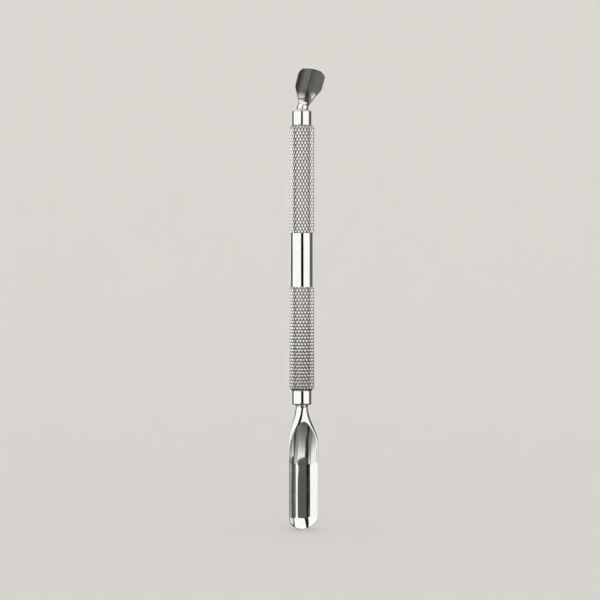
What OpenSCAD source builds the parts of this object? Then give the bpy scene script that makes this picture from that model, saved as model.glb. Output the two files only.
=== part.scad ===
// Double-ended cuticle pusher, about 127 mm long.
// A knurled tube handle carries a turned plug pressed into each end, and each
// plug holds a forged steel blade by its round tang: a long spoon below and a
// small scoop above, bent forward. Both blades face the same way.
// Millimetres, +Z along the handle. The origin is on the handle's axis, in the
// middle of the smooth centre band. The hollow sides of both blades face -Y.

/* [Handle tube] */
// Length of the tube from end to end
tube_len = 72.8; // [60:0.1:90]
// Diameter of the smooth band between the two knurls
band_d = 6.3; // [6.2:0.05:6.6]
// Length of the smooth band
band_len = 14.8; // [8:0.1:24]
// How far the middle of the tube lies above the middle of the smooth band
tube_rise = 0.6; // [-3:0.1:3]
// Bore of the tube
bore_d = 4.6; // [4:0.1:5]

/* [Diamond knurl] */
// Diameter over the crests
knurl_d = 6.8; // [6.6:0.05:7.2]
// Depth of the grooves
knurl_depth = 0.3; // [0.15:0.05:0.35]
// Diamonds round the handle
knurl_count = 22; // [16:1:26]
// Length of one diamond along the handle
knurl_pitch = 1.75; // [1.4:0.05:2.4]
// Length of the bevel at the tube's ends
knurl_bevel = 0.55; // [0.3:0.05:0.9]
// Length of the bevel where each knurl meets the smooth band
knurl_shoulder = 0.2; // [0.1:0.05:0.6]

/* [End plugs] */
// Diameter of the collar that shows beyond the tube
collar_d = 5.6; // [5:0.1:6]
// Height of the upper collar
upper_collar_h = 4.1; // [2:0.1:8]
// Height of the lower collar
lower_collar_h = 3.95; // [2:0.05:8]
// Bevel on the collar's outer edge
collar_bevel = 0.3; // [0.1:0.05:0.6]
// Length of the spigot pressed into the tube
spigot_len = 10; // [6:0.5:16]
// Hole through each plug and diameter of each tang
tang_d = 3; // [2.4:0.1:3.2]
// Depth that each tang reaches into its plug
tang_len = 12; // [8:0.5:14]

/* [Spoon] */
// Length from the lower collar to the spoon's tip
spoon_len = 34.3; // [25:0.1:45]
// Width across the spoon
spoon_w = 8.35; // [6:0.1:10]
// Diameter of the neck where it leaves the collar
spoon_neck_d = 3.5; // [3.2:0.1:4.2]
// How far the neck's foot spreads where it seats on the lower collar
spoon_foot = 0.12; // [0:0.01:0.3]
// Distance from the collar to the point where the spoon is full width
spoon_flare = 10.4; // [8:0.1:16]
// Distance from the collar to the top of the hollow
spoon_hollow_start = 5.1; // [4:0.1:8]
// Length over which the hollow sinks to its full depth
spoon_hollow_run = 12; // [8:0.5:14]
// Radius of the hollow across the spoon
spoon_hollow_r = 5; // [4.8:0.1:9]
// Wall at the middle of the hollow
spoon_wall = 0.9; // [0.6:0.05:1.3]
// Wall at the tip
spoon_tip_wall = 0.5; // [0.35:0.05:0.8]
// Length of the rounded tip
spoon_tip_len = 3.4; // [2:0.1:4]
// How far the tip curves forward
spoon_curl = 0.4; // [0:0.1:2]
// Length over which it curves
spoon_curl_len = 10; // [6:0.5:20]

/* [Scoop] */
// Length of the scoop along its own axis, from the upper collar to the tip
scoop_len = 13.9; // [11:0.1:20]
// Width across the scoop at its tip
scoop_w = 7.4; // [6:0.1:9]
// Diameter of the neck where it leaves the collar
scoop_neck_d = 3.45; // [3.2:0.1:4.2]
// How far the neck's foot spreads where it seats on the upper collar
scoop_foot = 0.6; // [0:0.05:0.8]
// Angle that the scoop is bent forward
scoop_bend = 44; // [20:0.5:55]
// Angle that the scoop is rolled about its own axis
scoop_roll = -14; // [-20:0.5:20]
// How far the neck leans to the right between the collar and the knee
scoop_offset = 0.6; // [0:0.05:0.8]
// Radius of the bend, along the middle of the neck
scoop_bend_r = 2.5; // [2:0.1:5]
// Straight neck below the bend
scoop_neck_len = 1.3; // [0.5:0.1:3]
// Distance from the collar to the knee where the hollow starts
scoop_knee = 1.9; // [1:0.1:3]
// Length over which the scoop widens from the knee
scoop_flare = 6.9; // [5:0.1:10]
// Radius of the hollow across the scoop
scoop_hollow_r = 6; // [5:0.1:9]
// Wall of the scoop
scoop_wall = 0.7; // [0.5:0.05:1]
// Length of the rounded corners at the tip
scoop_corner = 1.5; // [0.8:0.1:2.4]

/* [Hidden] */
$fn = 64;

// Heights of the joints along the handle
tube_top = tube_rise + tube_len / 2;
tube_bottom = tube_rise - tube_len / 2;
upper_face = tube_top + upper_collar_h;
lower_face = tube_bottom - lower_collar_h;

// How far each tang runs on inside the neck of its blade
TANG_ROOT = 0.3;

// Height of the foot of each neck
FOOT_H = 1;

// A blade ring: segments round the back, over one rim and across the hollow
BACK = 20;
RIM = 3;
HOLLOW = BACK - 2 * RIM;
// Narrowest patch of a ring that can open into the hollow
SEAM = 0.25;
// Rim left standing at each side of a hollow, and its height
RIM_STEP = 0.25;
RIM_CROWN = 0.22;
// How far the floor of each hollow lies behind the line of its neck's axis
SPOON_FLOOR = 0.3;
SCOOP_FLOOR = 0.2;

function ease(t) = let (c = min(max(t, 0), 1)) c * c * (3 - 2 * c);
function mix(a, b, t) = a + (b - a) * t;
// Extra radius of a neck's foot at distance d from its collar
function foot(spread, d) = spread * pow(max(1 - d / FOOT_H, 0), 2);
// Fall of a circular arc of radius r from its middle to half width u
function sag(r, u) = r - sqrt(max(r * r - u * u, 0));

// ---- Diamond knurl ----
// Crests and groove crossings alternate round every row and from row to row.
function knurl_row(z, k, n, r_crest, r_root) =
    [for (i = [0 : 2 * n - 1])
        let (r = (i + k) % 2 == 0 ? r_crest : r_root, a = 180 * i / n)
        [r * cos(a), r * sin(a), z]];

// The grooves run along the diagonal that joins two crossings of a cell.
function knurl_cells(rows, n) =
    [for (k = [0 : rows - 2], i = [0 : 2 * n - 1])
        let (j = (i + 1) % (2 * n), a = 2 * n * k + i, b = 2 * n * k + j,
             c = b + 2 * n, d = a + 2 * n)
        for (f = (i + k) % 2 == 0 ? [[a, d, b], [b, d, c]] : [[a, c, b], [a, d, c]])
            f];

// The length and the end radius of the bevel at the tube's ends, and of the low
// shoulder beside the smooth band.
CHAMFER = [knurl_bevel, collar_d / 2 + 0.1];
SHOULDER = [knurl_shoulder, band_d / 2 + 0.05];

// A solid knurled rod between two heights, with a plain bevel at each end.
module knurled_rod(z0, z1, lower, upper) {
    n = knurl_count;
    root = knurl_d / 2 - knurl_depth;
    start = z0 + lower[0];
    gap = z1 - upper[0] - start;
    steps = round(gap / (knurl_pitch / 2));
    rows = steps + 3;
    points = concat(
        knurl_row(z0, 0, n, lower[1], lower[1]),
        [for (k = [0 : steps], p = knurl_row(start + gap * k / steps,
                                             k + 1, n, knurl_d / 2, root)) p],
        knurl_row(z1, 0, n, upper[1], upper[1]));
    last = 2 * n * (rows - 1);
    polyhedron(points, concat(
        [[for (i = [0 : 2 * n - 1]) i]],
        [[for (i = [2 * n - 1 : -1 : 0]) last + i]],
        knurl_cells(rows, n)), convexity = 4);
}

// ---- Blades ----
// Half width at which the hollow's arc meets the crowned front, by bisection.
function hollow_edge(w, f, depth, r, lo, hi, n = 24) =
    let (u = (lo + hi) / 2,
         above = depth - sag(r, u) + f * sqrt(max(1 - u * u / (w * w), 0)) > 0)
    n == 0 ? u : hollow_edge(w, f, depth, r, above ? u : lo, above ? hi : u, n - 1);

// One closed section of a blade, in its own plane: u across, v to the back.
// w half width; mid v of the widest line; back and front crown heights;
// floor v of the hollow's lowest line; r radius of the hollow.
function blade_section(w, mid, back, front, floor, r) =
    let (edge = max(hollow_edge(w, front, floor - mid, r, 0, w), SEAM * w),
         lip = acos(edge / w))
    concat(
        [for (i = [0 : BACK]) let (a = 180 * i / BACK)
            [w * cos(a), mid + back * sin(a)]],
        [for (i = [1 : RIM]) let (a = lip * i / RIM)
            [-w * cos(a), mid - front * sin(a)]],
        [for (i = [1 : HOLLOW - 1])
            let (u = edge * (2 * i / HOLLOW - 1))
            [u, max(floor - sag(r, u), mid - front * sqrt(1 - u * u / (w * w)))]],
        [for (i = [RIM : -1 : 1]) let (a = lip * i / RIM)
            [w * cos(a), mid - front * sin(a)]]);

// Triangles between equal rings, and a strip across the first and last ring.
function loft_sides(rings, m) =
    [for (k = [0 : rings - 2], i = [0 : m - 1])
        let (j = (i + 1) % m, a = m * k + i, b = m * k + j)
        for (f = [[a, a + m, b], [b, a + m, b + m]]) f];
function loft_cap(base, m, flip) =
    [for (i = [0 : m / 2 - 1])
        let (a = base + i, b = base + i + 1,
             c = base + (m - i) % m, d = base + m - i - 1)
        for (f = i == 0 ? [[a, b, d]]
                : i == m / 2 - 1 ? [[a, b, c]]
                : [[a, b, d], [a, d, c]])
            flip ? [f[2], f[1], f[0]] : f];

module loft(rings) {
    m = len(rings[0]);
    polyhedron([for (ring = rings, p = ring) p],
        concat(loft_cap(0, m, false), loft_cap(m * (len(rings) - 1), m, true),
               loft_sides(len(rings), m)), convexity = 6);
}

// Spoon: everything is a function of d, the distance below the collar.
function spoon_full_w(d) =
    mix(spoon_neck_d, spoon_w, ease((d - 0.5) / (spoon_flare - 0.5))) / 2;
function spoon_half_w(d) =
    let (past = max(d - (spoon_len - spoon_tip_len), 0) / spoon_tip_len)
    spoon_full_w(d) * sqrt(max(1 - past * past, 0)) + foot(spoon_foot, d);
// The rim lies in one plane, so the floor rises to it round the tip.
function spoon_lift(d) =
    let (full = spoon_full_w(d), w = min(spoon_half_w(d), full))
    sag(spoon_hollow_r, full) - sag(spoon_hollow_r, w);
function spoon_curve(d) =
    let (s = max(1 - (spoon_len - d) / spoon_curl_len, 0))
    -spoon_curl * s * s;
function spoon_section(d) =
    let (w = spoon_half_w(d), t = ease((d - 1) / 14),
         sunk = 1 - pow(1 - min((d - spoon_hollow_start) / spoon_hollow_run, 1), 2),
         floor = mix(-spoon_neck_d / 2 + 0.02, SPOON_FLOOR, sunk) - spoon_lift(d),
         neck = spoon_neck_d / 2 + foot(spoon_foot, d),
         wall = mix(spoon_wall, spoon_tip_wall, ease((d / spoon_len - 0.6) / 0.4)),
         rim = floor - sag(spoon_hollow_r, w) + RIM_STEP,
         mid = mix(0, rim, t),
         back = mix(neck, SPOON_FLOOR + wall - spoon_lift(d), t))
    blade_section(w, mid, back - mid, mix(neck, RIM_CROWN, t), floor, spoon_hollow_r);

// Rings run up from the tip. They lie closer where the form changes fastest, in
// the tip and round the top of the hollow.
SPOON_STEPS = concat(
    [for (a = [72 : -9 : 0]) spoon_len - spoon_tip_len * (1 - sin(a))],
    [for (d = [spoon_len - spoon_tip_len - 2 : -2.4 : 14]) d],
    [for (d = [12 : -0.4 : 4.4]) d], [for (d = [4 : -0.8 : 0]) d]);

module spoon_blade() {
    loft([for (d = SPOON_STEPS)
        [for (p = spoon_section(d))
            [p[0], p[1] + spoon_curve(d), lower_face - d]]]);
}

// Scoop: sections stand square to a path that leaves the collar straight, bends
// forward and runs on straight. q is the distance along it.
BEND_LEN = scoop_bend_r * scoop_bend * PI / 180;
function scoop_half_w(q) =
    let (s = q - scoop_knee,
         full = mix(scoop_neck_d, scoop_w, ease(s / scoop_flare)) / 2,
         past = max(q - (scoop_len - scoop_corner), 0) / scoop_corner)
    full - scoop_corner * (1 - sqrt(max(1 - past * past, 0))) + foot(scoop_foot, q);
function scoop_section(q) =
    let (s = q - scoop_knee, w = scoop_half_w(q), t = ease(s / 2.4 + 0.2),
         floor = mix(-scoop_neck_d / 2 + 0.02, SCOOP_FLOOR, 1 - pow(1 - min(s / 5, 1), 2)),
         neck = scoop_neck_d / 2 + foot(scoop_foot, q),
         rim = floor - sag(scoop_hollow_r, w) + RIM_STEP,
         mid = mix(0, rim, t))
    blade_section(w, mid,
        mix(neck, SCOOP_FLOOR + scoop_wall, ease((q - 1) / 7)) - mid,
        mix(neck, RIM_CROWN, t), floor, scoop_hollow_r);

// Place a section's point [u, v] at distance q along the path.
function scoop_point(q, p) =
    let (bent = min(max(q - scoop_neck_len, 0), BEND_LEN) / BEND_LEN,
         b = scoop_bend * bent, roll = scoop_roll * ease(bent),
         past = max(q - scoop_neck_len - BEND_LEN, 0),
         u = p[0] * cos(roll) - p[1] * sin(roll),
         v = p[0] * sin(roll) + p[1] * cos(roll),
         forward = scoop_bend_r * (1 - cos(b)) + past * sin(b) - v * cos(b),
         up = min(q, scoop_neck_len) + scoop_bend_r * sin(b) + past * cos(b) + v * sin(b))
    [u + scoop_offset * ease(q / 2.5), -forward, upper_face + up];

SCOOP_STEPS = concat(
    [0, 0.15], [for (q = [0.3 : 0.3 : 3.6]) q],
    [for (q = [4.2 : 0.9 : scoop_len - scoop_corner - 0.3]) q],
    [for (a = [0 : 12 : 84]) scoop_len - scoop_corner * (1 - sin(a))]);

module scoop_blade() {
    loft([for (q = SCOOP_STEPS) [for (p = scoop_section(q)) scoop_point(q, p)]]);
}

module tang(z0, z1) {
    translate([0, 0, z0]) cylinder(h = z1 - z0, d = tang_d);
}

module plug(face, side, collar_h) {
    bore = tang_d / 2;
    translate([0, 0, face]) mirror([0, 0, side < 0 ? 1 : 0])
        rotate_extrude()
            polygon([[bore, -spigot_len], [bore_d / 2 - 0.2, -spigot_len],
                     [bore_d / 2, -spigot_len + 0.4], [bore_d / 2, 0],
                     [collar_d / 2, 0], [collar_d / 2, collar_h - collar_bevel],
                     [collar_d / 2 - collar_bevel, collar_h], [bore, collar_h]]);
}

module handle_tube() color([0.86, 0.85, 0.82]) difference() {
    union() {
        knurled_rod(tube_bottom, -band_len / 2, CHAMFER, SHOULDER);
        translate([0, 0, -band_len / 2]) cylinder(h = band_len, d = band_d);
        knurled_rod(band_len / 2, tube_top, SHOULDER, CHAMFER);
    }
    translate([0, 0, tube_bottom - 1]) cylinder(h = tube_len + 2, d = bore_d);
}
module upper_end_plug() color([0.92, 0.91, 0.89]) plug(tube_top, 1, upper_collar_h);
module lower_end_plug() color([0.92, 0.91, 0.89]) plug(tube_bottom, -1, lower_collar_h);
module spoon_pusher() color([0.80, 0.81, 0.80]) union() {
    tang(lower_face - TANG_ROOT, lower_face + tang_len);
    spoon_blade();
}
module angled_scoop() color([0.55, 0.56, 0.56]) union() {
    tang(upper_face - tang_len, upper_face + TANG_ROOT);
    scoop_blade();
}

handle_tube();
upper_end_plug();
lower_end_plug();
spoon_pusher();
angled_scoop();
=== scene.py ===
"""Double-ended cuticle pusher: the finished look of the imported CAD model.

The pieces follow the order in which the tool is put together: the knurled handle
tube, the plug in each of its ends, then the spoon and the scoop whose tangs go into
the plugs. Meshes are worked in millimetres and scaled to metres when finished.
"""
import math

import bmesh
import bpy
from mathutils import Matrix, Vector


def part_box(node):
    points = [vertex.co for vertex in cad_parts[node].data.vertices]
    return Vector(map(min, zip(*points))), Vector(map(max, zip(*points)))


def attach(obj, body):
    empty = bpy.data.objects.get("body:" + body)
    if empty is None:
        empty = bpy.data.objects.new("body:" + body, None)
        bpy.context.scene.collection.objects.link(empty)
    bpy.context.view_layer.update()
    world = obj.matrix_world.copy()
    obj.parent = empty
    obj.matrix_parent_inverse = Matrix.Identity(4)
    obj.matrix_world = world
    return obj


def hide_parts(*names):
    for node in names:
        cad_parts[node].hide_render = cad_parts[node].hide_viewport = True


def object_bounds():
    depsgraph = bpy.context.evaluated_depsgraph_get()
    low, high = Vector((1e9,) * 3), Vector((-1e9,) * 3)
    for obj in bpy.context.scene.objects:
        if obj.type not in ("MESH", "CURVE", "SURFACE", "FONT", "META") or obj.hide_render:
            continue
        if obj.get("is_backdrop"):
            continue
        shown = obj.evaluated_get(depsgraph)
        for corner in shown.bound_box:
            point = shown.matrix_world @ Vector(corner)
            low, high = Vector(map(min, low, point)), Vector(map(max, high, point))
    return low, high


# ---- Frame ---------------------------------------------------------------------
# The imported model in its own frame. Heights and diameters come from its nodes.
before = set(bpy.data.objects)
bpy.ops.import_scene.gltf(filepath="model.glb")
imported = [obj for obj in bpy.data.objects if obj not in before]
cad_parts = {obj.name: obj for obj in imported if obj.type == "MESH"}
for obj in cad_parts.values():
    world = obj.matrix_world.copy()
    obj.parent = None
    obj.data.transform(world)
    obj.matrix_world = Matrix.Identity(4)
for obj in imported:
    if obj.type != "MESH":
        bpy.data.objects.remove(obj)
cad_low, cad_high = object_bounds()
MM = 0.001

# ---- Camera --------------------------------------------------------------------
# A long lens, level with the middle of the tool and square to the handle. It stands
# a little to the left of the side that the hollows of the blades face.
MIDDLE_Z = (cad_low.z + cad_high.z) / 2
VIEW_TURN = math.radians(-17.5)
LENS = 135
SENSOR = 36
VIEW_SIZE = 0.1653
VIEW_SHIFT = (-0.0005, -0.0003)
reach = VIEW_SIZE / 2 * LENS / (SENSOR / 2)
camera_data = bpy.data.cameras.new("camera")
camera_data.lens = LENS
camera_data.sensor_width = SENSOR
camera_data.clip_start = 0.01
camera_data.clip_end = 20
camera = bpy.data.objects.new("camera", camera_data)
camera.location = (VIEW_SHIFT[0] * math.cos(VIEW_TURN) + reach * math.sin(VIEW_TURN),
                   VIEW_SHIFT[0] * math.sin(VIEW_TURN) - reach * math.cos(VIEW_TURN),
                   MIDDLE_Z + VIEW_SHIFT[1])
camera.rotation_euler = (math.radians(90), 0, VIEW_TURN)
bpy.context.scene.collection.objects.link(camera)
bpy.context.scene.camera = camera
bpy.context.scene.view_settings.view_transform = "Standard"

# ---- Floor and cove ------------------------------------------------------------
# A pale matt floor that sweeps up into a wall all round. The steel doesn't reflect
# it: what the steel shows is set by the softboxes and the dark table below.
FLOOR_Z = cad_low.z - 0.0003
FLOOR_R = 0.8
COVE_R = 1.1
WALL_H = 2.4
SKY_STRENGTH = 1.35


def link(name, bm, materials):
    """Make an object of a finished bmesh and put it in the scene."""
    mesh = bpy.data.meshes.new(name)
    bm.to_mesh(mesh)
    bm.free()
    for material in materials:
        mesh.materials.append(material)
    obj = bpy.data.objects.new(name, mesh)
    bpy.context.scene.collection.objects.link(obj)
    return obj


def revolve(points, steps):
    """Turn a profile of (radius, height) points about Z."""
    bm = bmesh.new()
    verts = [bm.verts.new((r, 0, z)) for r, z in points]
    edges = [bm.edges.new(pair) for pair in zip(verts, verts[1:])]
    bmesh.ops.spin(bm, geom=verts + edges, cent=(0, 0, 0), axis=(0, 0, 1),
                   angle=2 * math.pi, steps=steps, use_merge=True)
    bmesh.ops.remove_doubles(bm, verts=bm.verts, dist=1e-6)
    return bm


class Wire:
    """A shader socket that takes part in Python arithmetic, as Math nodes."""

    def __init__(self, finish, socket):
        self.finish, self.socket = finish, socket

    def math(self, operation, a, b):
        return self.finish.add("Math", {"operation": operation}, {0: a, 1: b})

    def __add__(self, other):
        return self.math("ADD", self, other)

    def __sub__(self, other):
        return self.math("SUBTRACT", self, other)

    def __rsub__(self, other):
        return self.math("SUBTRACT", other, self)

    def __mul__(self, other):
        return self.math("MULTIPLY", self, other)

    def __pow__(self, other):
        return self.math("POWER", self, other)

    __radd__ = __add__
    __rmul__ = __mul__


class Finish:
    """A material while its nodes are being wired."""

    def __init__(self, name):
        self.material = bpy.data.materials.new(name)
        self.material.use_nodes = True
        self.tree = self.material.node_tree
        self.surface = self.tree.nodes["Principled BSDF"]

    def add(self, kind, settings, inputs, out=0):
        """Add one node: its settings first, then the values or wires of its inputs."""
        node = self.tree.nodes.new("ShaderNode" + kind)
        for name, value in settings.items():
            setattr(node, name, value)
        self.feed(node, inputs)
        return Wire(self, node.outputs[out])

    def feed(self, node, inputs):
        for name, value in inputs.items():
            if isinstance(value, Wire):
                self.tree.links.new(value.socket, node.inputs[name])
            else:
                node.inputs[name].default_value = value

    def place(self, stretch=(1, 1, 1)):
        """The point on the piece in millimetres, with each axis stretched."""
        point = self.add("TexCoord", {}, {}, out="Object")
        scale = tuple(s / MM for s in stretch)
        return self.add("Mapping", {}, {"Vector": point, "Scale": scale})

    def noise(self, stretch, scale, detail=3.0):
        return self.add("TexNoise", {}, {"Vector": self.place(stretch), "Scale": scale,
                                         "Detail": detail})

    def ramp(self, value, low, high, to_low=0.0, to_high=1.0):
        """value from low..high to to_low..to_high, clamped and smoothed."""
        return self.add("MapRange", {"interpolation_type": "SMOOTHSTEP"},
                        {"Value": value, "From Min": low, "From Max": high,
                         "To Min": to_low, "To Max": to_high})

    def blend(self, factor, a, b):
        """One colour into another."""
        return self.add("Mix", {"data_type": "RGBA"}, {0: factor, 6: a, 7: b}, out=2)


def studio_material(name, colour, glow=0.0, specular=0.0, roughness=1.0, ior=1.5):
    """A surface of the studio: lit by others, or glowing with its own light."""
    finish = Finish(name)
    finish.feed(finish.surface, {
        "Base Color": (0, 0, 0, 1) if glow else (*colour, 1), "Roughness": roughness,
        "Specular IOR Level": specular, "IOR": ior, "Emission Color": (*colour, 1),
        "Emission Strength": glow})
    return finish.material


cove_arc = [(FLOOR_R + COVE_R * math.sin(math.radians(a)),
             FLOOR_Z + COVE_R * (1 - math.cos(math.radians(a)))) for a in range(0, 91, 6)]
cove_mesh = revolve([(0, FLOOR_Z)] + cove_arc
                    + [(FLOOR_R + COVE_R, FLOOR_Z + WALL_H)], 96)
for face in cove_mesh.faces:
    face.smooth = True
cove = link("floor_and_cove", cove_mesh, [studio_material("pale_paper", (0.80, 0.79, 0.77))])
cove.visible_glossy = False
cove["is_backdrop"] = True

world = bpy.data.worlds.new("room")
bpy.context.scene.world = world
world.use_nodes = True
sky = world.node_tree.nodes["Background"]
sky.inputs["Color"].default_value = (1, 0.99, 0.97, 1)
sky.inputs["Strength"].default_value = SKY_STRENGTH
world.cycles_visibility.glossy = False

# ---- Softboxes -----------------------------------------------------------------
# Curved screens round the tool that only its reflections see: two bright ones with a
# dark gap in front, two behind, dim ones at the sides, and a disc overhead.
SCREEN_R = 1
FILL_R = 1.02
SCREEN_FOOT, SCREEN_TOP = -0.50, 1.3
OVERHEAD_Z = 1.25
BRIGHT, WHITE = 1.25, (1, 1, 1)
# Height, then the edges in degrees round from the camera, to the right.
LEFT_EDGES = ((SCREEN_FOOT, -106, -22), (-0.16, -106, -21), (-0.115, -106, -18),
              (-0.092, -106, -7), (0.12, -106, -10), (0.3, -106, -5), (0.7, -106, -12),
              (SCREEN_TOP, -106, -14))
RIGHT_EDGES = ((SCREEN_FOOT, 34, 74), (-0.115, 32, 76), (-0.092, 20, 90), (0.12, 12, 84),
               (0.3, 5, 84), (0.7, 14, 84), (SCREEN_TOP, 16, 84))


def screen(name, rows, material):
    """rows: distance, height, left edge and right edge, from one end to the other."""
    across = 24
    bm = bmesh.new()
    bmesh.ops.create_grid(bm, x_segments=across, y_segments=len(rows) - 1, size=1)
    for vert in bm.verts:
        radius, height, left, right = rows[round((vert.co.y + 1) / 2 * (len(rows) - 1))]
        a = VIEW_TURN + math.radians(left + (right - left) * (vert.co.x + 1) / 2)
        vert.co = (radius * math.sin(a), -radius * math.cos(a), height)
    sheet = link(name, bm, [material])
    for ray in ("camera", "diffuse", "shadow", "transmission"):
        setattr(sheet, "visible_" + ray, False)
    sheet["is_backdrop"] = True
    return sheet


for name, edges in (("left_softbox", LEFT_EDGES), ("right_softbox", RIGHT_EDGES)):
    screen(name, [(SCREEN_R, *row) for row in edges], studio_material(name, WHITE, BRIGHT))
for name, left, right, brightness, colour in (
        ("right_fill", 72, 130, 0.16, (1, 0.96, 0.86)),
        ("left_fill", -144, -104, 0.1, WHITE),
        ("back_left_softbox", 142, 172, 1.0, WHITE),
        ("back_right_softbox", 186, 218, 1.0, WHITE),
        ("camera_fill", -22, 34, 0.012, WHITE)):
    screen(name, [(FILL_R, z, left, right) for z in (SCREEN_FOOT, SCREEN_TOP)],
           studio_material(name, colour, brightness))
overhead = screen("overhead_softbox",
                  [(r, OVERHEAD_Z, 16, 346) for r in (0.001, SCREEN_R)],
                  studio_material("overhead_softbox", WHITE, 1.0))
overhead.visible_diffuse = True

# ---- Flag ----------------------------------------------------------------------
# A dark oval card that stands low in front, to the right, glowing faintly: painted light
# in place of a dimly lit card. It shows in the hollow of the spoon.
FLAG_R = 0.2
FLAG_Z = -0.0801
FLAG_RISE = 0.0168
FLAG_EDGE = 4
FLAG_SPREAD = 58
flag_rows = []
for a in range(-90, 91, 10):
    width = FLAG_SPREAD * math.cos(math.radians(a)) ** 0.9
    height = FLAG_Z + FLAG_RISE * math.sin(math.radians(a))
    flag_rows.append((FLAG_R, height, FLAG_EDGE, FLAG_EDGE + width))
screen("flag", flag_rows, studio_material("flag", WHITE, 0.12))

# ---- Table ---------------------------------------------------------------------
# A dark polished table under the tool, with a faint glow of painted light on its gloss. On
# it lie a white sheet on each side, which fades towards the tool, and two grey strips that
# show in the scoop: all glow, painted light in place of lit paper.
TABLE_Z = FLOOR_Z - 0.036
TABLE_R = 0.5
SHEET_LIFT = 0.001
STRIP_LIFT = 0.0005
FADE_START, FADE_END = 60, 260

# The sheets glow with painted light, which fades out towards the tool.
sheet_finish = Finish("glowing_sheet")
point = sheet_finish.place()
x, y = (sheet_finish.add("SeparateXYZ", {}, {"Vector": point}, out=axis) for axis in "XY")
spread = sheet_finish.ramp((x * x + y * y) ** 0.5, FADE_START, FADE_END)
sheet_finish.feed(sheet_finish.surface, {
    "Base Color": (0, 0, 0, 1), "Specular IOR Level": 0.0, "Emission Strength": 1.1,
    "Emission Color": sheet_finish.blend(spread, (0.10, 0.10, 0.085, 1), (1, 1, 1, 1))})
for name, left, right in (("left_sheet", -60, -26), ("right_sheet", 15, 62)):
    screen(name, [(r, TABLE_Z + SHEET_LIFT, left, right)
                  for r in (FADE_START * MM, TABLE_R)], sheet_finish.material)
# The strips glow too: painted light.
for name, near, far, left, right in (("left_streak", 0.045, 0.10, -70, -44),
                                     ("right_streak", 0.02, 0.08, 6, 94)):
    screen(name, [(r, TABLE_Z + STRIP_LIFT, left, right) for r in (near, far)],
           studio_material(name, (1, 0.97, 0.88), 0.20))
# Glossy black, with a faint glow of painted light.
screen("glowing_dark_table", [(r, TABLE_Z, -100, 122) for r in (0.001, TABLE_R)],
       studio_material("glowing_dark_table", (0.05, 0.05, 0.045), 0.7, 0.5, 0.10, 1.9))


# ---- Handle tube ---------------------------------------------------------------
# A stainless tube. Two bands of 30-degree diamond knurl are rolled into it, and the
# band between them is turned smooth and polished. Its ends are bored for the plugs.
KNURL_COUNT = 22
KNURL_PITCH = 1.75
# Spacing along the knurl of the spots of painted shade where the grooves cross.
SPOT_PITCH = 28.25 / 16
KNURL_DEPTH = 0.3
KNURL_BEVEL = 0.55
KNURL_END_R = 2.9
SHOULDER = 0.2
SHOULDER_R = 3.2
BAND_R = 3.15
BAND_HALF = 7.4
BORE_R = 2.3
# Insets from the groove to the crest of one diamond: share of the groove-to-peak
# distance, and share of the depth.
KNURL_STEPS = ((0.06, 0.06), (0.52, 0.78), (0.14, 0.10))


def box_mm(node):
    """A node's lowest and highest corners, in millimetres."""
    low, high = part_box(node)
    return Vector(low) / MM, Vector(high) / MM


tube_low, tube_high = box_mm("handle_tube")
knurl_r = tube_high.x


def polished_steel(name, joints=(), haze=0.0):
    """Mirror polish: lengthwise lines, faint smears, and nicks near the joints."""
    finish = Finish(name)
    lines = finish.noise((1, 1, 0.02), 9.0, 4.0)
    smears = finish.noise((1, 1, 0.45), 0.5, 3.0)
    wave = finish.noise((1, 1, 0.25), 0.32, 1.0)
    pits = finish.noise((1, 1, 1), 3.1, 2.0)
    height = finish.add("SeparateXYZ", {}, {"Vector": finish.place()}, out="Z")
    worn = finish.ramp(pits, 0.73, 0.78)
    for joint in joints:
        offset = finish.add("Math", {"operation": "ABSOLUTE"}, {0: height - joint})
        near = finish.ramp(offset, 0.15, 0.5, 1.0, 0.0)
        worn = worn + near * finish.ramp(pits, 0.52, 0.6)
    clean = finish.blend(smears, (0.74, 0.73, 0.70, 1), (0.80, 0.79, 0.775, 1))
    colour = finish.blend(worn, clean, (0.20, 0.19, 0.18, 1))
    rough = finish.ramp(smears, 0.35, 0.75, 0.03 + haze, 0.08 + haze) + lines * 0.03 \
        + worn * 0.3
    relief = wave * 0.006 + lines * 0.0006 - worn * 0.01
    bump = finish.add("Bump", {}, {"Height": relief, "Strength": 1.0, "Distance": MM})
    finish.feed(finish.surface, {"Base Color": colour, "Roughness": rough,
                                 "Metallic": 1.0, "Normal": bump})
    return finish.material


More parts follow.
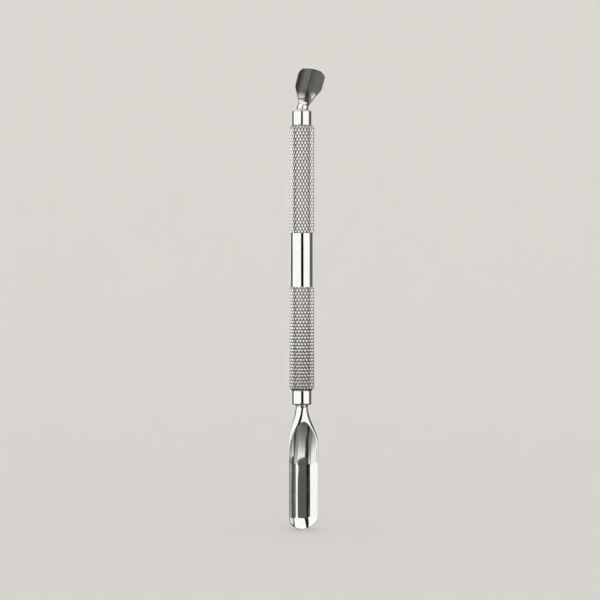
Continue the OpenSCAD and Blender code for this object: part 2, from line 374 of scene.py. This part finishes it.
def knurled_steel():
    """Rolled diamonds: buffed crests, grooves darkened with painted shade, and spots of
    painted shade where the grooves cross.
    """
    finish = Finish("knurled_steel")
    point = finish.place()
    x, y, height = (finish.add("SeparateXYZ", {}, {"Vector": point}, out=axis)
                    for axis in "XYZ")
    radius = (x * x + y * y) ** 0.5
    # crest runs from 0 deep in the grooves to 1 on the crests: the grooves get a darker
    # colour, painted shade.
    crest = finish.ramp(radius, knurl_r - KNURL_DEPTH, knurl_r - 0.05)
    away = finish.add("Math", {"operation": "ABSOLUTE"}, {0: height})
    turn = finish.add("Math", {"operation": "ARCTAN2"}, {0: y, 1: x})
    across = finish.add("Math", {"operation": "COSINE"}, {0: turn * KNURL_COUNT})
    along = finish.add("Math", {"operation": "COSINE"},
                       {0: (away - (BAND_HALF + SHOULDER)) * (2 * math.pi / SPOT_PITCH)})
    painted_pit_shade = finish.ramp(across * along, 0.30, 0.95)
    grain = finish.noise((1, 1, 1), 7.0, 4.0)
    patches = finish.noise((1, 1, 0.4), 0.35, 2.0)
    painted_groove_shade = finish.blend(grain, (0.36, 0.345, 0.30, 1), (0.54, 0.52, 0.47, 1))
    buffed = finish.blend(patches, (0.90, 0.88, 0.83, 1), (0.95, 0.94, 0.91, 1))
    colour = finish.blend(crest ** 0.7, painted_groove_shade, buffed)
    # Painted shade: near-black spots in the pits where the grooves cross.
    colour = finish.blend(painted_pit_shade, colour, (0.05, 0.047, 0.04, 1))
    rough = 0.34 - crest * 0.12 + grain * 0.06
    bump = finish.add("Bump", {}, {"Height": grain * 0.008, "Strength": 1.0,
                                   "Distance": MM})
    finish.feed(finish.surface, {"Base Color": colour, "Roughness": rough,
                                 "Metallic": 1.0, "Normal": bump})
    return finish.material


def knurl_sheet(rows):
    """Flat sheet of diamonds, one unit wide and long, heights from 0 to 1."""
    bm = bmesh.new()
    bmesh.ops.create_circle(bm, segments=4, radius=0.5, cap_ends=True)
    bmesh.ops.subdivide_edges(bm, edges=bm.edges, cuts=1)
    top = list(bm.faces)
    apothem = math.sqrt(0.125)
    for share, rise in KNURL_STEPS:
        bmesh.ops.inset_region(bm, faces=top, thickness=share * apothem, depth=0,
                               use_boundary=True, use_even_offset=True)
        bmesh.ops.translate(bm, verts=top[0].verts, vec=(0, 0, rise))
    peak = bmesh.ops.poke(bm, faces=top)["verts"]
    for vert in peak:
        vert.co.z = 1
    diamond = bm.verts[:] + bm.edges[:] + bm.faces[:]
    row = list(diamond)
    for i in range(1, KNURL_COUNT):
        copy = bmesh.ops.duplicate(bm, geom=diamond)["geom"]
        bmesh.ops.translate(bm, vec=(i, 0, 0),
                            verts=[v for v in copy if isinstance(v, bmesh.types.BMVert)])
        row += copy
    for j in range(1, rows):
        copy = bmesh.ops.duplicate(bm, geom=row)["geom"]
        bmesh.ops.translate(bm, vec=(0.5 * (j % 2), 0.5 * j, 0),
                            verts=[v for v in copy if isinstance(v, bmesh.types.BMVert)])
    return bm


def rim_edges(bm, z):
    """The open edges of a tube at the height z."""
    return [e for e in bm.edges if e.is_boundary
            and all(abs(v.co.z - z) < 1e-3 for v in e.verts)]


def draw_out(bm, edges, radius, z):
    """Carry a ring of edges on to a circle of the given radius and height."""
    grown = bmesh.ops.extrude_edge_only(bm, edges=edges)["geom"]
    for vert in (g for g in grown if isinstance(g, bmesh.types.BMVert)):
        flat = Vector((vert.co.x, vert.co.y)).normalized() * radius
        vert.co = (flat.x, flat.y, z)
    return [g for g in grown if isinstance(g, bmesh.types.BMEdge)]


def knurled_band(z0, z1):
    """A tube of diamonds between two heights, cut square through a row at each end."""
    steps = round((z1 - z0) / (KNURL_PITCH / 2))
    bm = knurl_sheet(steps + 1)
    rise = (z1 - z0) / steps
    for vert in bm.verts:
        turn = 2 * math.pi * (vert.co.x + 0.5) / KNURL_COUNT
        r = knurl_r - KNURL_DEPTH * (1 - vert.co.z)
        vert.co = (r * math.cos(turn), r * math.sin(turn), z0 + vert.co.y * 2 * rise)
    bmesh.ops.remove_doubles(bm, verts=bm.verts, dist=1e-4)
    for z, facing in ((z0, -1), (z1, 1)):
        bmesh.ops.bisect_plane(bm, geom=bm.verts[:] + bm.edges[:] + bm.faces[:],
                               dist=1e-4, plane_co=(0, 0, z), plane_no=(0, 0, facing),
                               clear_outer=True)
    return bm


def finish_piece(name, bm, materials, sharp=30):
    """Close the work on a piece: merge, turn outwards, smooth, scale to metres."""
    bmesh.ops.remove_doubles(bm, verts=bm.verts, dist=1e-4)
    bmesh.ops.recalc_face_normals(bm, faces=bm.faces)
    for face in bm.faces:
        face.smooth = True
    for edge in bm.edges:
        edge.smooth = edge.calc_face_angle(0) < math.radians(sharp)
    bmesh.ops.scale(bm, vec=(MM, MM, MM), verts=bm.verts)
    return link(name, bm, materials)


handle_bm = bmesh.new()
for low, high in ((tube_low.z + KNURL_BEVEL, -BAND_HALF - SHOULDER),
                  (BAND_HALF + SHOULDER, tube_high.z - KNURL_BEVEL)):
    band = knurled_band(low, high)
    mesh = bpy.data.meshes.new("band")
    band.to_mesh(mesh)
    band.free()
    handle_bm.from_mesh(mesh)
    bpy.data.meshes.remove(mesh)

smooth_rings = []
for side in (-1, 1):
    edges = rim_edges(handle_bm, side * (BAND_HALF + SHOULDER))
    edges = draw_out(handle_bm, edges, SHOULDER_R, side * BAND_HALF)
    smooth_rings += draw_out(handle_bm, edges, BAND_R, side * (BAND_HALF - 0.02))
bmesh.ops.bridge_loops(handle_bm, edges=smooth_rings)
bore_rings = []
for z, side in ((tube_low.z, 1), (tube_high.z, -1)):
    edges = rim_edges(handle_bm, z + side * KNURL_BEVEL)
    edges = draw_out(handle_bm, edges, KNURL_END_R, z)
    edges = draw_out(handle_bm, edges, BORE_R, z)
    bore_rings += edges
bmesh.ops.bridge_loops(handle_bm, edges=bore_rings)
for face in handle_bm.faces:
    face.material_index = int(abs(face.calc_center_median().z) < BAND_HALF + 0.01)

handle = finish_piece("handle_tube_finished", handle_bm,
                      [knurled_steel(), polished_steel("polished_band")])
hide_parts("handle_tube")
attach(handle, "root")

# ---- End plugs -----------------------------------------------------------------
# Two turned stainless plugs. Each has a collar that shows and a spigot pressed into
# the tube, and is bored through for the tang of its blade.
COLLAR_R = 2.8
COLLAR_BEVEL = 0.3
SPIGOT_LEN = 10
SPIGOT_LEAD = 0.4
TANG_R = 1.5
PLUG_STEPS = 96
SEAT_EDGE = 0.06
HOLD = 0.04

upper_face = box_mm("upper_end_plug")[1].z
lower_face = box_mm("lower_end_plug")[0].z


def end_plug(name, node, seat, face):
    """A plug whose collar runs from the tube's end, seat, to its outer face."""
    side = 1 if face > seat else -1
    inner = seat - side * SPIGOT_LEN
    lead = side * SPIGOT_LEAD
    bevel = [(COLLAR_R - COLLAR_BEVEL * (1 - math.cos(math.radians(a))),
              face - side * COLLAR_BEVEL * (1 - math.sin(math.radians(a))))
             for a in (0, 15, 30, 45, 60, 75, 90)]
    profile = [(TANG_R, inner), (BORE_R - 0.2, inner), (BORE_R, inner + lead),
               (BORE_R, seat), (COLLAR_R - SEAT_EDGE, seat),
               (COLLAR_R, seat + side * SEAT_EDGE),
               (COLLAR_R, seat + side * (SEAT_EDGE + HOLD)),
               (COLLAR_R, face - side * (COLLAR_BEVEL + HOLD)), *bevel,
               (TANG_R, face), (TANG_R, inner)]
    plug = finish_piece(name, revolve(profile, PLUG_STEPS),
                        [polished_steel(name, (seat, face))])
    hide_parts(node)
    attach(plug, "root")


end_plug("upper_end_plug_finished", "upper_end_plug", tube_high.z, upper_face)
end_plug("lower_end_plug_finished", "lower_end_plug", tube_low.z, lower_face)

# ---- Spoon pusher --------------------------------------------------------------
# A forged and polished stainless blade. Its round neck flares into a long gutter
# with a rounded tip, and its tang is pressed into the lower plug.
SPOON_W = 8.35
SPOON_LEN = 34.3
SPOON_NECK_R = 1.75
SPOON_FOOT = 0.12
SPOON_FLARE = 10.4
SPOON_HOLLOW_START = 5.1
SPOON_HOLLOW_RUN = 12
SPOON_HOLLOW_R = 5
SPOON_FLOOR = 0.3
SPOON_WALL = 0.9
SPOON_TIP_WALL = 0.5
SPOON_TIP = 3.4
SPOON_CURL = 0.15
SPOON_TIP_LIFT = 0.18
SPOON_CURL_LEN = 10
TANG_LEN = 12
# The last station of the tang, a hair inside the collar.
TANG_ROOT = -1e-6
FOOT_H = 1
SEAM = 0.06
RIM_STEP = 0.25
RIM_CROWN = 0.22
LIP = 0.45
# Faces round a blade: over the back, over each rim and across the hollow.
BACK = 48
RIM = 6
HOLLOW = 36


def ease(t):
    t = min(max(t, 0), 1)
    return t * t * (3 - 2 * t)


def mix(a, b, t):
    return a + (b - a) * t


def sag(r, u):
    """Fall of a circular arc of radius r from its middle to half width u."""
    return r - math.sqrt(max(r * r - u * u, 0))


def foot(spread, d):
    """Extra radius of a neck's foot at distance d from its collar."""
    return spread * max(1 - d / FOOT_H, 0) ** 2


def span(start, stop, step):
    """Even steps from start to stop, no longer than step."""
    count = math.ceil((stop - start) / step)
    return [start + (stop - start) * i / count for i in range(count)]


def hollow_edge(w, front, depth, r):
    """Half width at which the hollow's arc meets the crowned front."""
    low, high = 0, w
    for _ in range(24):
        u = (low + high) / 2
        if depth - sag(r, u) + front * math.sqrt(max(1 - u * u / (w * w), 0)) > 0:
            low = u
        else:
            high = u
    return low


def blade_section(w, mid, back, front, floor, r):
    """One closed section: u across, v to the back, starting at the right rim."""
    edge = hollow_edge(w, front, floor - mid, r)
    seam = max(edge, SEAM * w)
    lip = math.acos(seam / w)
    points = []
    for i in range(BACK):
        a = math.pi * i / BACK
        points.append((w * math.cos(a), mid + back * math.sin(a)))
    for i in range(RIM):
        a = lip * i / RIM
        points.append((-w * math.cos(a), mid - front * math.sin(a)))
    for i in range(HOLLOW):
        u = seam * (2 * i / HOLLOW - 1)
        crown = mid - front * math.sqrt(1 - u * u / (w * w))
        points.append((u, max(floor - sag(r, u), crown)))
    for i in range(RIM):
        a = lip * (1 - i / RIM)
        points.append((w * math.cos(a), mid - front * math.sin(a)))
    return points, edge > SEAM * w


def blade(name, node, stations, section, place, material):
    """Loft a blade through its sections, then bevel the lip of the hollow."""
    around = BACK + 2 * RIM + HOLLOW
    lip_columns = (BACK + RIM, BACK + RIM + HOLLOW)
    sections = [section(d) for d in stations]
    opens = [i for i, (_, hollow) in enumerate(sections) if hollow][0]
    bm = bmesh.new()
    bmesh.ops.create_grid(bm, x_segments=around, y_segments=len(stations) - 1, size=1)
    lip = bm.verts.layers.int.new("lip")
    for vert in bm.verts:
        column = round((vert.co.x + 1) / 2 * around)
        row = round((vert.co.y + 1) / 2 * (len(stations) - 1))
        on_lip = row > opens and column in lip_columns
        at_head = row == opens and lip_columns[0] <= column <= lip_columns[1]
        vert[lip] = int(on_lip or at_head)
        u, v = sections[row][0][column % around]
        vert.co = place(stations[row], u, v)
    bmesh.ops.remove_doubles(bm, verts=bm.verts, dist=1e-4)
    edges = [e for e in bm.edges if all(v[lip] for v in e.verts)]
    bmesh.ops.bevel(bm, geom=edges, offset=LIP, segments=2, profile=0.5,
                    affect="EDGES", material=-1, clamp_overlap=True)
    bmesh.ops.holes_fill(bm, edges=[e for e in bm.edges if e.is_boundary], sides=0)
    piece = finish_piece(name, bm, [material], sharp=40)
    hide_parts(node)
    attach(piece, "root")


def round_section(r):
    """A plain circle with the same number of points as a blade's section."""
    half = RIM + HOLLOW / 2
    points = []
    for i in range(BACK + 2 * RIM + HOLLOW):
        a = math.pi * i / BACK if i <= BACK else math.pi * (1 + (i - BACK) / (2 * half))
        points.append((r * math.cos(a), r * math.sin(a)))
    return points, False


def spoon_section(d):
    """Section of the spoon at distance d below the collar; the tang is above it."""
    if d < 0:
        return round_section(TANG_R)
    full = mix(SPOON_NECK_R, SPOON_W / 2, ease((d - 0.5) / (SPOON_FLARE - 0.5)))
    past = max(d - (SPOON_LEN - SPOON_TIP), 0) / SPOON_TIP
    w = full * math.sqrt(1 - past * past) + foot(SPOON_FOOT, d)
    lift = SPOON_TIP_LIFT * (sag(SPOON_HOLLOW_R, full)
                             - sag(SPOON_HOLLOW_R, min(w, full)))
    neck = SPOON_NECK_R + foot(SPOON_FOOT, d)
    t = ease((d - 1) / 14)
    sunk = 1 - (1 - min((d - SPOON_HOLLOW_START) / SPOON_HOLLOW_RUN, 1)) ** 2
    floor = mix(0.02 - SPOON_NECK_R, SPOON_FLOOR, sunk) - lift
    wall = mix(SPOON_WALL, SPOON_TIP_WALL, ease((d / SPOON_LEN - 0.6) / 0.4))
    mid = mix(0, floor - sag(SPOON_HOLLOW_R, w) + RIM_STEP, t)
    back = mix(neck, SPOON_FLOOR + wall - lift, t)
    return blade_section(w, mid, back - mid, mix(neck, RIM_CROWN, t), floor,
                         SPOON_HOLLOW_R)


def spoon_place(d, u, v):
    """A section's point in the frame: the spoon hangs below the lower collar."""
    curl = max(1 - (SPOON_LEN - d) / SPOON_CURL_LEN, 0)
    return u, v - SPOON_CURL * curl * curl, lower_face - max(d, -TANG_LEN)


spoon_tip_steps = [SPOON_LEN - SPOON_TIP * (1 - math.sin(math.radians(a)))
                   for a in range(0, 81, 4)]
spoon_stations = [-TANG_LEN, TANG_ROOT] + span(0, 4.2, 0.2) + span(4.2, 12, 0.12) \
    + span(12, SPOON_LEN - SPOON_TIP, 0.5) + spoon_tip_steps
spoon_finish = polished_steel("polished_spoon", (lower_face,))
blade("spoon_pusher_finished", "spoon_pusher", spoon_stations, spoon_section,
      spoon_place, spoon_finish)

# ---- Angled scoop --------------------------------------------------------------
# A second forged blade, short and wide. Its neck is bent forward just above the
# upper collar, and its tang is pressed into the upper plug.
SCOOP_W = 7.4
SCOOP_LEN = 13.9
SCOOP_NECK_R = 1.725
SCOOP_FOOT = 0.6
SCOOP_BEND = math.radians(44)
SCOOP_ROLL = math.radians(-14)
SCOOP_OFFSET = 0.6
SCOOP_BEND_R = 2.5
SCOOP_NECK = 1.3
SCOOP_KNEE = 1.9
SCOOP_FLARE = 6.9
SCOOP_HOLLOW_R = 6
SCOOP_FLOOR = 0.2
SCOOP_WALL = 0.7
SCOOP_CORNER = 1.5
BEND_LEN = SCOOP_BEND_R * SCOOP_BEND


def scoop_section(q):
    """Section of the scoop at distance q along its path from the collar."""
    if q < 0:
        return round_section(TANG_R)
    s = q - SCOOP_KNEE
    past = max(q - (SCOOP_LEN - SCOOP_CORNER), 0) / SCOOP_CORNER
    w = mix(SCOOP_NECK_R, SCOOP_W / 2, ease(s / SCOOP_FLARE)) + foot(SCOOP_FOOT, q)
    w -= SCOOP_CORNER * (1 - math.sqrt(1 - past * past))
    neck = SCOOP_NECK_R + foot(SCOOP_FOOT, q)
    t = ease(s / 2.4 + 0.2)
    floor = mix(0.02 - SCOOP_NECK_R, SCOOP_FLOOR, 1 - (1 - min(s / 5, 1)) ** 2)
    mid = mix(0, floor - sag(SCOOP_HOLLOW_R, w) + RIM_STEP, t)
    back = mix(neck, SCOOP_FLOOR + SCOOP_WALL, ease((q - 1) / 7))
    return blade_section(w, mid, back - mid, mix(neck, RIM_CROWN, t), floor,
                         SCOOP_HOLLOW_R)


def scoop_place(q, u, v):
    """A section's point in the frame, square to the bent path."""
    if q < 0:
        return u, v, upper_face + q
    bent = min(max(q - SCOOP_NECK, 0), BEND_LEN) / BEND_LEN
    b, roll = SCOOP_BEND * bent, SCOOP_ROLL * ease(bent)
    past = max(q - SCOOP_NECK - BEND_LEN, 0)
    across = u * math.cos(roll) - v * math.sin(roll)
    deep = u * math.sin(roll) + v * math.cos(roll)
    forward = SCOOP_BEND_R * (1 - math.cos(b)) + past * math.sin(b) - deep * math.cos(b)
    up = min(q, SCOOP_NECK) + SCOOP_BEND_R * math.sin(b) + past * math.cos(b) \
        + deep * math.sin(b)
    return across + SCOOP_OFFSET * ease(q / 2.5), -forward, upper_face + up


scoop_tip_steps = [SCOOP_LEN - SCOOP_CORNER * (1 - math.sin(math.radians(a)))
                   for a in range(0, 85, 6)]
scoop_stations = [-TANG_LEN, TANG_ROOT] + span(0, 4, 0.1) \
    + span(4, SCOOP_LEN - SCOOP_CORNER, 0.3) + scoop_tip_steps
scoop_finish = polished_steel("polished_scoop", (upper_face,), haze=0.09)
blade("angled_scoop_finished", "angled_scoop", scoop_stations, scoop_section,
      scoop_place, scoop_finish)

low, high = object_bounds()
({"cad": [list(cad_low), list(cad_high)],
           "visual": [list(low), list(high)]})
